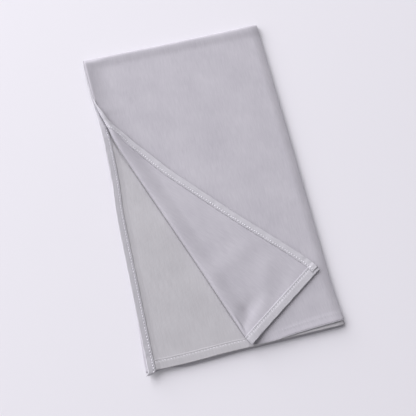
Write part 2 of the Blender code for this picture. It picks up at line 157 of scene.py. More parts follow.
def along(table, column, at):
    """Smooth values from a table whose first column rises or falls."""
    rows = np.array(sorted(table), float)
    keys, values = rows[:, 0], rows[:, column]
    slopes = np.gradient(values, keys)
    at = np.clip(np.asarray(at, float), keys[0], keys[-1])
    i = np.clip(np.searchsorted(keys, at) - 1, 0, len(keys) - 2)
    span = keys[i + 1] - keys[i]
    t = (at - keys[i]) / span
    value = (2 * t**3 - 3 * t**2 + 1) * values[i]
    value += (3 * t**2 - 2 * t**3) * values[i + 1]
    value += (t**3 - 2 * t**2 + t) * slopes[i] * span
    return value + (t**3 - t**2) * slopes[i + 1] * span


def sized(table, column, at):
    """The same, with places and values in metres."""
    return along(table, column, np.asarray(at) / MM) * MM


def ease(t):
    """A soft step from 0 to 1."""
    t = np.clip(t, 0.0, 1.0)
    return t * t * (3.0 - 2.0 * t)


def left_edge(y):
    return sized(STACK_SIDES, 1, y)


def right_edge(y):
    return sized(STACK_SIDES, 2, y)


def hemmed_end(x):
    return sized(STACK_ENDS, 1, x)


def folded_end(x):
    return sized(STACK_ENDS, 2, x)


def stack_top(x, y):
    """Height of the six plies, lower along the lengthwise fold."""
    t = 1.0 - np.clip((right_edge(y) - x) / STACK_ROUNDING, 0.0, 1.0)
    return STACK_HEIGHT - (STACK_HEIGHT - STACK_RIGHT_HEIGHT) * t**2


def furrow(x, y, width):
    """Depth of the furrow at a place; width is that of its banks."""
    away = (x - sized(FURROW, 1, y)) / width
    return sized(FURROW, 2, y) * np.exp(-away**2)


def fold_line(x, height):
    """Where the cross fold starts to round off."""
    return folded_end(x) - UPPER_PLIES - height / 2.0


FOLD_START = float(fold_line(0.0, STACK_HEIGHT))


def linear(hex_colour):
    """Linear colour from an sRGB hex value."""
    found = []
    for k in (1, 3, 5):
        c = int(hex_colour[k:k + 2], 16) / 255.0
        found.append(c / 12.92 if c <= 0.04045 else ((c + 0.055) / 1.055) ** 2.4)
    return (*found, 1.0)


def add(nodes, kind, links=(), **settings):
    """Add a node with its settings, and link sockets into it."""
    node = nodes.new(kind)
    for name, value in settings.items():
        if hasattr(node, name):
            setattr(node, name, value)
        else:
            node.inputs[name.replace("_", " ")].default_value = value
    for socket, source in links:
        nodes.id_data.links.new(source, node.inputs[socket])
    return node


def jersey(name, light, shade, rib_depth):
    """Cotton and elastane jersey, circular knitted, dyed one pale grey.

    Matt, with a faint bloom of fibre ends, and fine ribs of knit that run
    the length of the scarf.  The real ribs are 0.8 mm apart, too fine to
    show, so they are drawn twice as coarse.  Its tone wanders a little, in
    streaks 1.6 by 16 mm and in clouds about 45 mm wide.
    """
    mat = bpy.data.materials.new(name)
    mat.use_nodes = True
    nodes = mat.node_tree.nodes
    shader = nodes["Principled BSDF"]
    shader.inputs["Roughness"].default_value = 0.86
    shader.inputs["IOR"].default_value = 1.46
    shader.inputs["Specular IOR Level"].default_value = 0.25
    shader.inputs["Sheen Weight"].default_value = 0.18
    shader.inputs["Sheen Roughness"].default_value = 0.45
    shader.inputs["Sheen Tint"].default_value = (1.0, 1.0, 1.0, 1.0)
    place = add(nodes, "ShaderNodeTexCoord")
    drawn_out = add(nodes, "ShaderNodeMapping", [("Vector", place.outputs["UV"])],
                    Scale=(620.0, 62.0, 1.0))
    streaks = add(nodes, "ShaderNodeTexNoise", [("Vector", drawn_out.outputs[0])],
                  Scale=1.0, Detail=2.0, Roughness=0.6)
    cloud = add(nodes, "ShaderNodeTexNoise", [("Vector", place.outputs["UV"])],
                Scale=22.0, Detail=3.0, Roughness=0.5)
    both = add(nodes, "ShaderNodeMath",
               [(0, streaks.outputs[0]), (1, cloud.outputs[0])], operation="ADD")
    ramp = add(nodes, "ShaderNodeMapRange", [("Value", both.outputs[0])],
               From_Min=0.65, From_Max=1.35)
    tone = add(nodes, "ShaderNodeMix", [("Factor", ramp.outputs[0])],
               data_type="RGBA")
    tone.inputs[6].default_value = linear(shade)
    tone.inputs[7].default_value = linear(light)
    mat.node_tree.links.new(tone.outputs[2], shader.inputs["Base Color"])
    ribs = add(nodes, "ShaderNodeTexWave", [("Vector", place.outputs["UV"])],
               wave_type="BANDS", bands_direction="X", Scale=196.0,
               Distortion=1.5, Detail=1.0)
    rib_bump = add(nodes, "ShaderNodeBump", [("Height", ribs.outputs[1])],
                   Strength=0.12, Distance=rib_depth)
    bump = add(nodes, "ShaderNodeBump",
               [("Height", streaks.outputs[0]), ("Normal", rib_bump.outputs[0])],
               Strength=0.22, Distance=0.4 * MM)
    mat.node_tree.links.new(bump.outputs[0], shader.inputs["Normal"])
    return mat


def made(name, points, faces, mat):
    """A smooth object through points of the drawing, set round the middle."""
    mesh = bpy.data.meshes.new(name)
    moved = np.asarray(points) - np.array((CENTRE_X, CENTRE_Y, 0.0))
    mesh.from_pydata(moved.tolist(), [], faces)
    mesh.polygons.foreach_set("use_smooth", [True] * len(mesh.polygons))
    mesh.update()
    obj = bpy.data.objects.new(name, mesh)
    bpy.context.collection.objects.link(obj)
    mesh.materials.append(mat)
    return obj


def sheet_mesh(name, points, cloth_at, mat, thickness=0.0, closed=False):
    """Cloth through rows of points; thickness makes it a wall.

    cloth_at: for each point, how far across and along the cut cloth it is.
    """
    rows, columns = points.shape[:2]
    index = np.arange(rows * columns).reshape(rows, columns)
    if closed:
        index = np.concatenate([index, index[:, :1]], axis=1)
    quads = np.stack([index[:-1, :-1], index[:-1, 1:], index[1:, 1:],
                      index[1:, :-1]], axis=-1).reshape(-1, 4)
    faces = quads.tolist()
    if closed:
        faces.append(index[0, :-1].tolist()[::-1])
        faces.append(index[-1, :-1].tolist())
    obj = made(name, points.reshape(-1, 3), faces, mat)
    uv = obj.data.uv_layers.new(name="cloth")
    corners = np.zeros(len(obj.data.loops), int)
    obj.data.loops.foreach_get("vertex_index", corners)
    flat = cloth_at.reshape(-1, 2)
    uv.data.foreach_set("uv", flat[corners].ravel())
    if thickness:
        wall = obj.modifiers.new("ply", "SOLIDIFY")
        wall.thickness = thickness
        wall.offset = 0.0
        bpy.context.view_layer.objects.active = obj
        bpy.ops.object.modifier_apply(modifier=wall.name)
    return obj


def stack_ring(level):
    """One ring round the six plies, at a share of their height.

    It runs down the left side, along the hemmed end, up the right side and
    back along the folded end.
    """
    ply = min(int(level * STACK_PLIES), STACK_PLIES - 1)
    part = level * STACK_PLIES - ply
    steps = np.array(STACK_STEPS[ply]) * MM
    nose = PLY_NOSE * (1.0 - math.sin(math.pi * min(max(part, 0.0), 1.0))) ** 1.5
    pinch = FOLD_PINCH * (1.0 - abs(math.sin(level * RIGHT_FOLDS * math.pi)))
    if level in (0.0, 1.0):
        nose, pinch = FLAT_NOSE, FLAT_PINCH
    low = float(hemmed_end(-CORNER_X))
    t = np.linspace(0.0, 1.0, LEFT_POINTS)
    y = FOLD_START - STACK_CORNER + (low + 2 * STACK_CORNER - FOLD_START) * t
    wave = PLY_WAVE * np.sin(y / 0.031 + 2.1 * ply)
    x = left_edge(y) + steps[0] + (steps[1] - steps[0]) * t + nose + wave
    z = np.full_like(y, level * STACK_HEIGHT)
    ring = [np.stack([x, y, z], axis=1)]
    t = np.linspace(0.0, 1.0, END_POINTS)
    start = float(left_edge(low)) + STACK_CORNER
    low = float(hemmed_end(CORNER_X))
    end = float(right_edge(low)) - STACK_CORNER
    x = start + (end - start) * t
    wave = PLY_WAVE * np.sin(x / 0.027 + 1.3 * ply)
    y = hemmed_end(x) + steps[2] + (steps[3] - steps[2]) * t + nose + wave
    z = level * stack_top(x, np.full_like(x, HEMMED_Y))
    ring.append(np.stack([x, y, z], axis=1))
    t = np.linspace(0.0, 1.0, RIGHT_POINTS)
    y = low + STACK_CORNER + (FOLD_START - 2 * STACK_CORNER - low) * t
    z = np.full_like(y, level * STACK_RIGHT_HEIGHT)
    ring.append(np.stack([right_edge(y) - pinch, y, z], axis=1))
    t = np.linspace(0.0, 1.0, END_POINTS)
    end = float(right_edge(FOLD_START)) - STACK_CORNER
    start = float(left_edge(FOLD_START)) + STACK_CORNER
    x = end + (start - end) * t
    height = stack_top(x, np.full_like(x, FOLD_START))
    turn = math.pi * level
    y = fold_line(x, height) + height / 2.0 * math.sin(turn)
    z = height * (1.0 - math.cos(turn)) / 2.0
    ring.append(np.stack([x, y, z], axis=1))
    return np.concatenate(ring)


levels = np.linspace(0.0, 1.0, LEVELS * STACK_PLIES + 1)
rings = [stack_ring(float(level)) for level in levels]
ring = rings[-1]
for inset in TOP_INSETS:
    inset *= MM
    x = np.maximum(ring[:, 0], left_edge(ring[:, 1]) + inset + TOP_STEP_SIDE)
    x = np.minimum(x, right_edge(ring[:, 1]) - inset)
    y = np.maximum(ring[:, 1], hemmed_end(ring[:, 0]) + inset + TOP_STEP_END)
    y = np.minimum(y, fold_line(ring[:, 0], STACK_HEIGHT) - inset)
    sunk = HIDDEN_DROP * ease((inset - 2.0 * MM) / (3.0 * MM))
    sunk = sunk + furrow(x, y, FURROW_BELOW)
    rings.append(np.stack([x, y, stack_top(x, y) - sunk], axis=1))
rings = np.array(rings)
grey = jersey("jersey_right_side", "#C1BEC5", "#B3B0B8", 0.5 * MM)
lower = sheet_mesh("lower_plies", rings, rings[:, :, :2], grey, closed=True)
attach(lower, "root")
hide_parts("lower_layers")


# The second layer.
# The next ply of jersey, wrong side up, laid bare by the turned corner.  It
# is one cloth with the top layer, carried round the lengthwise fold.
PLY = 0.9 * MM
SECOND_LIFT = 0.8 * MM    # from the six plies to the middle of each layer
TOP_LIFT = 2.1 * MM
SECOND_INSET = 1.45 * MM  # where it starts, inside the lengthwise fold

SECOND_SIDE = [
    # y, hemmed side
    (232.0, -135.2),
    (216.0, -135.4),
    (200.0, -135.6),
    (180.0, -134.8),
    (160.0, -132.8),
    (140.0, -131.0),
    (118.0, -129.4),
    (70.0, -128.6),
    (30.0, -129.6),
    (-5.0, -132.2),
    (-60.0, -133.2),
    (-120.0, -133.6),
    (-180.0, -134.2),
    (-228.0, -134.6),
]
SECOND_END = [
    # x, hemmed end
    (-134.0, -225.4),
    (-122.0, -226.0),
    (-104.0, -226.8),
    (-80.0, -227.2),
    (-40.0, -227.0),
    (-12.0, -227.2),
    (18.0, -228.2),
    (57.0, -228.4),
    (100.0, -229.2),
    (136.0, -229.8),
]
CLOTH_LENGTH = 454.0 * MM
END_BLEND = 60.0 * MM     # how far from an end the rows start to follow it
FOLD_TURN = 111.0         # degrees that both layers go round the cross fold
FOLD_RADIUS = 5.0 * MM
PUFF = 1.6 * MM           # how proud that fold stands
PUFF_LENGTH = 13.0 * MM
BANK = 5.0 * MM           # closely drawn on each side of the furrow
EDGE_BAND = 20.0 * MM     # closely drawn beside the hemmed side
SIDE_RISE = 2.8 * MM      # how far that side curls up where it lies bare
RISE_WIDTH = 17.0 * MM
SIDE_DROOP = 1.6 * MM     # how far it hangs where it is covered
DROOP_WIDTH = 6.0 * MM


def over_stack(x, y, turn, lift):
    """Points at a height over the six plies; turn is round the cross fold.

    The fold was not pressed, so it stands a little proud at its edge.
    """
    if turn is None:
        puff = PUFF * ease((y - FOLD_START + PUFF_LENGTH) / PUFF_LENGTH)
        return np.stack([x, y, stack_top(x, y) + lift + puff], axis=1)
    height = stack_top(x, np.full_like(x, FOLD_START))
    reach = height / 2.0 + lift + PUFF * (1.0 + math.cos(turn)) / 2.0
    return np.stack([x, fold_line(x, height) + reach * math.sin(turn),
                     height / 2.0 + reach * math.cos(turn)], axis=1)


def row_line(x, distance, ends):
    """Where a row runs: its first and last rows follow the pack's ends."""
    y = FOLD_START - distance
    last = FOLD_START - CLOTH_LENGTH
    end = sized(ends, 1, x)
    start = fold_line(x, stack_top(x, np.full_like(x, FOLD_START)))
    low = ease((last + END_BLEND - y) / END_BLEND)
    high = ease((y - FOLD_START + END_BLEND) / END_BLEND)
    return y + low * (end - last) + high * (start - FOLD_START)


def row_places(fold_rows, spans):
    """Rows round the cross fold, then spaced down the cloth by spans."""
    turns = np.radians(np.linspace(FOLD_TURN, 0.0, fold_rows, endpoint=False))
    places = [("fold", turn) for turn in turns]
    for start, end, count in spans:
        for k in range(count):
            places.append(("flat", (start + (end - start) * k / count) * MM))
    places.append(("flat", spans[-1][1] * MM))
    return places


def cloth_lengths(points, places):
    """How far across and along the cut cloth each point lies."""
    steps = np.linalg.norm(np.diff(points, axis=1), axis=2)
    across = np.concatenate([np.zeros((len(points), 1)),
                             np.cumsum(steps, axis=1)], axis=1)
    down = [value if kind == "flat" else -value * FOLD_RADIUS
            for kind, value in places]
    return np.stack([across, np.repeat(np.array(down)[:, None],
                                       points.shape[1], axis=1)], axis=2)


def facing(points):
    """Unit normals of rows of points, towards the wrong side."""
    across = np.gradient(points, axis=1)
    down = np.gradient(points, axis=0)
    normals = np.cross(across, down)
    return normals / np.linalg.norm(normals, axis=2, keepdims=True)


def second_row(kind, value):
    """One row of the second layer, from its fold at the right to its hem."""
    at = FOLD_START if kind == "fold" else FOLD_START - value
    edge = float(right_edge(at)) - SECOND_INSET
    left = float(sized(SECOND_SIDE, 1, at))
    near = edge - STACK_ROUNDING * np.linspace(0.0, 1.0, 10) ** 1.3
    crest = max(float(sized(FURROW, 1, at)), left + EDGE_BAND + BANK + 2.0 * MM)
    wide = np.concatenate([
        np.linspace(near[-1], crest + BANK, 34, endpoint=False)[1:],
        crest + BANK * np.linspace(1.0, -1.0, 15),
        np.linspace(crest - BANK, left + EDGE_BAND, 13)[1:]])
    margin = np.linspace(left + EDGE_BAND, left, 22)[1:]
    x = np.concatenate([near, wide, margin])
    bare = SIDE_RISE * float(ease((150.0 * MM - at) / (50.0 * MM)))
    rise = bare * np.clip((left + RISE_WIDTH - x) / RISE_WIDTH, 0.0, 1.0) ** 1.4
    droop = SIDE_DROOP * float(ease((at - 118.0 * MM) / (40.0 * MM)))
    hang = np.clip((left + DROOP_WIDTH - x) / DROOP_WIDTH, 0.0, 1.0) ** 1.5
    rise = rise - droop * hang
    soft = 0.10 * MM * np.sin(x / 0.017 + at / 0.041) * np.sin(at / 0.029)
    if kind == "fold":
        return over_stack(x, None, value, SECOND_LIFT)
    y = row_line(x, value, SECOND_END)
    points = over_stack(x, y, None, SECOND_LIFT)
    points[:, 2] += rise + soft * ease(value / (40.0 * MM))
    points[:, 2] -= furrow(x, points[:, 1], FURROW_WIDTH)
    return points


second_places = row_places(8, [(0.0, 80.0, 16), (80.0, 150.0, 28), (150.0, 420.0, 60),
                               (420.0, 454.0, 22)])
second_points = np.array([second_row(*place) for place in second_places])
second_cloth = cloth_lengths(second_points, second_places)
pale = jersey("jersey_wrong_side", "#BFBDC1", "#B2B0B4", 0.6 * MM)
second = sheet_mesh("second_ply", second_points, second_cloth, pale, PLY)
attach(second, "root")
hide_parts("second_layer")


# The second layer's hems.
# Edges of the same jersey, turned over by 9 mm along the side and 12.5 mm
# along the end.  The stitches draw them down, and they pucker in between.
SIDE_HEM = 9.0 * MM
END_HEM = 12.5 * MM
HEM_PLY = 0.6 * MM
HEM_OUT = 0.8 * MM      # from the middle of a layer to that of its hem
HEM_DEPTHS = (0.0, 0.5, 1.3, 2.4, 3.6, 4.8, 6.0, 7.2, 8.2, 9.2, 10.2, 11.2, 12.0)
HEM_RIPPLE = 0.10 * MM
SEAM_SUNK = 0.40 * MM
SEAM_WIDTH = 1.1 * MM
RAW_EDGE_SUNK = 0.12 * MM


def lengths(line):
    """How far along a line each of its points lies."""
    steps = np.linalg.norm(np.diff(line, axis=0), axis=1)
    return np.concatenate([[0.0], np.cumsum(steps)])


def turned_hem(name, points, normals, cloth, width, seam, mat, raised=None):
    """The allowance of a hem, turned over a sheet's edge and laid flat.

    points, normals and cloth run inward from the edge along their second
    axis.  seam: how far in from the edge the stitches draw the cloth down.
    raised: extra height for each station along the hem.
    """
    deep = np.array(HEM_DEPTHS) * MM
    deep = np.append(deep[deep < width - 0.9 * MM], (width - 0.5 * MM, width))
    turns = np.radians(np.linspace(-80.0, 80.0, 9))
    gone = lengths(points[:, 0])
    strip, ups, across = [], [], []
    for i in range(len(points)):
        line = points[i]
        reach = lengths(line)
        lift = HEM_OUT + (0.0 if raised is None else raised[i])
        inward = line[1] - line[0]
        inward = inward / np.linalg.norm(inward)
        up = normals[i][0]
        row = [line[0] - inward * HEM_OUT * 0.9 * math.cos(a)
               + up * (lift if a > 0 else HEM_OUT) * math.sin(a)
               for a in turns]
        row_ups = [up] * len(row)
        ripple = math.sin(gone[i] / 0.0021) + math.sin(gone[i] / 0.0034 + 1.0)
        ripple += math.sin(gone[i] / 0.0012 + 2.0 * math.sin(gone[i] / 0.013))
        for d in deep:
            at = [np.interp(d, reach, line[:, k]) for k in range(3)]
            n = np.array([np.interp(d, reach, normals[i][:, k]) for k in range(3)])
            near = math.exp(-((d - seam) / SEAM_WIDTH) ** 2)
            low = lift - RAW_EDGE_SUNK * (d > width - 0.3 * MM)
            low += HEM_RIPPLE * ripple * (1.0 - near) - SEAM_SUNK * near
            row.append(np.array(at) + n * low)
            row_ups.append(n)
        strip.append(row)
        ups.append(row_ups)
        across.append([cloth[i][0]] * len(row))
    strip = np.array(strip)
    steps = np.linalg.norm(np.diff(strip, axis=1), axis=2)
    over = np.concatenate([np.zeros((len(strip), 1)),
                           np.cumsum(steps, axis=1)], axis=1)
    base = np.array(across)
    if abs(cloth[0][0][0] - cloth[0][-1][0]) > abs(cloth[0][0][1] - cloth[0][-1][1]):
        base[:, :, 0] += over
    else:
        base[:, :, 1] += over
    obj = sheet_mesh(name, strip, base, mat, HEM_PLY)
    return obj, strip[:, len(turns):], np.array(ups)[:, len(turns):], deep


second_normals = facing(second_points)
if second_normals[40, 30, 2] < 0:
    second_normals = -second_normals
# A raised hem catches more light than flat cloth, so its grey is paler.
hem_grey = jersey("jersey_hem", "#C7C5CB", "#BCBAC0", 0.5 * MM)
side = [i for i, (kind, value) in enumerate(second_places) if kind == "flat"]
side_points = second_points[side][:, ::-1]
side_normals = second_normals[side][:, ::-1]
side_cloth = second_cloth[side][:, ::-1]
# The side hem runs on past the end hem as a short flared tail.
TAIL = np.array([
    # past the end, further left, less far on its inner side
    (2.0, -0.8, 0.2),
    (4.0, -2.2, 0.9),
    (5.6, -3.6, 1.8),
]) * MM
past = []
for step, out, back in TAIL:
    row = side_points[-1].copy()
    inset = np.clip((row[:, 0] - row[0, 0]) / SIDE_HEM, 0.0, 1.0)
    row[:, 1] -= step - back * inset
    row[:, 0] += out * (1.0 - inset * 0.6)
    past.append(row)
side_points = np.concatenate([side_points, past])
side_normals = np.concatenate([side_normals, [side_normals[-1]] * len(TAIL)])
side_cloth = np.concatenate([side_cloth, [side_cloth[-1] + (0.0, 2.0 * MM * k)
                                          for k in (1, 2, 3)]])
side_down = np.concatenate([[second_places[i][1] for i in side],
                            CLOTH_LENGTH + TAIL[:, 0]])
second_side = turned_hem(
    "second_side_strip", side_points, side_normals, side_cloth, SIDE_HEM, 7.0 * MM,
    hem_grey, 0.7 * MM * ease((side_down - 438.0 * MM) / (8.0 * MM)))


def turned(rows):
    """The same points, with the hemmed end first."""
    return rows.transpose(1, 0, 2)[:, ::-1]


second_end = turned_hem(
    "second_end_strip", turned(second_points)[1:], turned(second_normals)[1:],
    turned(second_cloth)[1:], END_HEM, 10.0 * MM, pale)
for piece in (second_side[0], second_end[0]):
    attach(piece, "root")
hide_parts("second_side_hem")
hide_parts("second_end_hem")


# The second layer's stitches.
# Rows of spun polyester thread, sewn through the hems by machine: round dots
# along the side and short slanting dashes along the end.
SIDE_PITCH, SIDE_LONG, SIDE_THICK = 3.8 * MM, 2.1 * MM, 0.7 * MM
END_PITCH = 4.1 * MM
STITCH_UNEVEN = 0.12  # share of the pitch that a stitch may be off by
STITCH_FAT = ((-0.5, 0.15), (-0.42, 0.75), (-0.2, 1.0),
              (0.2, 1.0), (0.42, 0.75), (0.5, 0.15))  # place along, thickness
STITCH_SIDES = 6
STITCH_PROUD = 0.30 * MM  # how far its middle stands above the hem's


def seam_points(hem, depth, pitch, start=0.0, end=1.0):
    """Evenly spaced places along a hem: point, way along, way in, way up.

    start and end: shares of the hem's length between which it is sewn.
    """
    _, strip, ups, deep = hem
    line = np.array([[np.interp(depth, deep, row[:, k]) for k in range(3)]
                     for row in strip])
    up = ups[:, int(np.searchsorted(deep, depth))]
    gone = lengths(line)
    found = []
    count = int(gone[-1] * (end - start) / pitch)
    for k in range(count):
        off = STITCH_UNEVEN * pitch * math.sin(2.4 * k * k + 0.7 * k)
        at = gone[-1] * start + (k + 0.5) * pitch + off
        i = int(min(max(np.searchsorted(gone, at) - 1, 0), len(line) - 2))
        t = (at - gone[i]) / (gone[i + 1] - gone[i])
        point = line[i] + (line[i + 1] - line[i]) * t
        ahead = (line[i + 1] - line[i]) / (gone[i + 1] - gone[i])
        n = up[i] / np.linalg.norm(up[i])
        inward = np.cross(n, ahead)
        if inward @ (strip[i, -1] - strip[i, 0]) < 0:
            inward = -inward
        found.append((point, ahead, inward, n))
    return found


def stitches(name, places, length, radius, slant, mat):
    """One mesh of short thread stitches, each a small flattened capsule.

    slant: share of the stitch's direction that points inward, 0 to 1.
    """
    points, faces = [], []
    sides = STITCH_SIDES
    for k, (centre, ahead, inward, n) in enumerate(places):
        lean = slant + 0.08 * math.sin(1.7 * k)
        way = ahead * (1.0 - abs(lean)) + inward * lean
        way = way / np.linalg.norm(way)
        side = np.cross(n, way)
        long = length * (1.0 + 0.10 * math.sin(3.1 * k))
        first = len(points)
        for t, f in STITCH_FAT:
            for j in range(sides):
                a = 2.0 * math.pi * j / sides
                p = centre + way * long * t + side * radius * f * math.cos(a)
                p = p + n * (radius * 0.7 * f * math.sin(a) + STITCH_PROUD
                             + radius * 0.3 * (1.0 - (2.0 * t) ** 2))
                points.append(p)
        last = len(points) - sides
        for start in range(first, last, sides):
            for j in range(sides):
                a, b = start + j, start + (j + 1) % sides
                faces.append((a, b, b + sides, a + sides))
        faces.append(tuple(range(first + sides - 1, first - 1, -1)))
        faces.append(tuple(range(last, last + sides)))
    return made(name, points, faces, mat)


def thread():
    """Polyester sewing thread, spun, nearly white, with a low gloss.

    The lie of its fibres gives it a tone that changes every millimetre.
    """
    mat = bpy.data.materials.new("sewing_thread")
    mat.use_nodes = True
    nodes = mat.node_tree.nodes
    shader = nodes["Principled BSDF"]
    shader.inputs["Roughness"].default_value = 0.5
    shader.inputs["IOR"].default_value = 1.5
    place = add(nodes, "ShaderNodeTexCoord")
    twist = add(nodes, "ShaderNodeTexNoise", [("Vector", place.outputs["Object"])],
                Scale=900.0, Detail=1.0)
    tone = add(nodes, "ShaderNodeMix", [("Factor", twist.outputs[0])],
               data_type="RGBA")
    tone.inputs[6].default_value = linear("#DCDAE2")
    tone.inputs[7].default_value = linear("#F4F2F8")
    mat.node_tree.links.new(tone.outputs[2], shader.inputs["Base Color"])
    return mat


white = thread()
second_dots = stitches("second_side_stitches",
                       seam_points(second_side, 6.6 * MM, SIDE_PITCH),
                       SIDE_LONG, SIDE_THICK, 0.0, white)
second_dashes = stitches("second_end_stitches",
                         seam_points(second_end, 9.6 * MM, END_PITCH),
                         2.6 * MM, 0.32 * MM, 0.35, white)
for piece in (second_dots, second_dashes):
    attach(piece, "root")


# The top layer.
# The same jersey, right side up, carried round both folds.  Its lower left
# corner is turned back, and its edges are turned over and machine sewn.
TOP_END = [
    # x, hemmed end
    (-10.0, -224.4),
    (5.0, -225.2),
    (20.0, -227.2),
    (35.0, -227.6),
    (58.0, -226.0),
    (85.0, -224.7),
    (112.0, -224.0),
    (136.0, -223.7),
]
MARGIN = [
    # row, then where it starts to turn back (x and y), the lean of the fold,
    # its radius and how far it turns, then its rim (x, y and rise)
    (233.0, -122.0, 233.0, 0.0, 60.0, 0.0, -134.4, 233.0, 0.0),
    (225.0, -122.0, 225.0, 0.0, 60.0, 10.0, -134.0, 225.3, 1.8),
    (215.0, -123.0, 215.0, 0.0, 60.0, 15.5, -133.6, 215.4, 2.8),
    (205.0, -124.0, 205.0, 0.0, 60.0, 17.5, -133.2, 205.4, 2.8),
    (190.0, -124.0, 190.0, 1.0, 60.0, 18.5, -132.6, 190.3, 2.7),
    (178.0, -124.5, 178.0, 2.0, 60.0, 19.0, -132.0, 178.3, 2.5),
    (168.0, -125.6, 168.0, 3.0, 40.0, 21.0, -131.3, 168.2, 2.2),
    (160.0, -126.4, 160.0, 4.5, 12.0, 32.0, -130.0, 160.2, 2.1),
    (154.0, -127.0, 154.0, 6.0, 3.2, 64.0, -128.7, 154.2, 2.2),
    (149.0, -126.2, 149.0, 7.5, 1.9, 100.0, -126.8, 149.3, 2.5),
    (142.0, -124.4, 142.0, 9.0, 1.9, 130.0, -123.4, 142.2, 2.9),
    (134.0, -122.8, 134.0, 10.5, 1.95, 152.0, -120.3, 135.0, 3.1),
    (126.0, -120.2, 126.0, 12.0, 2.0, 168.0, -117.4, 127.2, 2.8),
    (118.0, -118.2, 118.1, 14.0, 2.1, 178.0, -113.6, 120.4, 1.9),
    (110.0, -115.8, 110.3, 15.5, 2.6, 180.0, -109.0, 113.6, 1.4),
    (104.0, -113.8, 104.4, 17.0, 3.0, 180.0, -104.8, 108.6, 1.1),
    (96.0, -111.7, 96.4, 18.6, 3.2, 180.0, -98.8, 101.2, 1.0),
    (85.0, -108.2, 85.5, 20.0, 3.2, 180.0, -92.2, 91.3, 1.2),
    (75.0, -104.8, 75.5, 20.2, 3.2, 180.0, -86.2, 83.1, 1.6),
    (52.0, -96.2, 52.5, 20.2, 3.2, 180.0, -73.3, 67.4, 2.4),
    (12.0, -81.3, 12.6, 20.2, 3.2, 180.0, -48.9, 36.0, 2.8),
    (-41.0, -61.4, -40.4, 20.2, 3.1, 180.0, -11.5, -6.0, 2.9),
    (-106.0, -37.4, -105.3, 20.2, 2.8, 180.0, 34.1, -56.0, 2.9),
    (-153.0, -20.3, -152.2, 20.2, 2.9, 180.0, 67.9, -91.0, 2.8),
    (-195.0, -5.0, -194.1, 20.4, 2.9, 180.0, 98.1, -122.6, 2.6),
    (-215.0, 2.0, -214.4, 21.0, 2.8, 180.0, 112.3, -138.8, 2.5),
    (-228.5, 9.0, -225.6, 22.0, 2.8, 180.0, 120.3, -150.8, 2.6),
]
SETTLE = 22.0 * MM      # how far the turned cloth takes to lie down
RIM_GROOVE = 0.8 * MM   # how deep it dips beside its side hem
RIM_CURL = 1.6 * MM     # how far the rim curls down where it isn't turned
RIM_WIDTH = 3.4 * MM
HEM_THICKER = 0.4 * MM  # how much the hidden end hem lifts the layer
END_LIFT = 0.6 * MM     # how far its edge gapes
UNDER = 10              # points round the lengthwise fold
UNDER_TURN = 172.0      # degrees

# How far the layer swells up towards its turned corner.
SWELL = [
    # row, height, width
    (233.0, 0.0, 24.0),
    (225.0, 1.7, 24.0),
    (215.0, 2.7, 22.0),
    (205.0, 3.0, 22.0),
    (190.0, 3.2, 23.0),
    (178.0, 3.5, 25.0),
    (168.0, 4.0, 28.0),
    (160.0, 4.6, 31.0),
    (154.0, 5.0, 34.0),
    (149.0, 5.3, 36.0),
    (142.0, 5.4, 38.0),
    (134.0, 5.1, 38.0),
    (126.0, 5.0, 41.0),
    (118.0, 4.8, 42.0),
    (110.0, 4.5, 42.0),
    (104.0, 4.2, 42.0),
    (96.0, 3.7, 42.0),
    (85.0, 2.9, 42.0),
    (75.0, 2.1, 40.0),
    (52.0, 0.8, 34.0),
    (12.0, 0.0, 26.0),
]
CREASES = [
    # from x, y, to x, y, half widths left and right, heights at both ends
    (-12.0, -213.0, 8.0, -187.0, 13.0, 8.0, -2.4, -1.6),
    (14.0, -180.0, 27.0, -171.0, 10.0, 7.0, -1.3, -0.8),
    (16.0, -206.0, 34.0, -184.0, 14.0, 14.0, 1.4, 0.9),
    (34.0, -172.0, 52.0, -128.0, 11.0, 11.0, 0.6, 0.6),
    (-22.0, -126.0, 34.0, -96.0, 12.0, 12.0, 0.6, 0.6),
    (50.0, -190.0, 92.0, -146.0, 9.0, 9.0, 0.5, 0.5),
]


def crease_height(x, y):
    """Height of the soft creases in the turned corner; troughs are below 0."""
    total = np.zeros_like(x)
    for x0, y0, x1, y1, left, right, low, high in CREASES:
        axis = np.array((x1 - x0, y1 - y0)) * MM
        off_x, off_y = x - x0 * MM, y - y0 * MM
        t = np.clip((off_x * axis[0] + off_y * axis[1]) / (axis @ axis), 0.0, 1.0)
        gap = np.hypot(off_x - axis[0] * t, off_y - axis[1] * t)
        wide = np.where(axis[0] * off_y - axis[1] * off_x > 0.0, left, right) * MM
        total += (low + (high - low) * t) * MM * np.exp(-(gap / wide) ** 2)
    return total


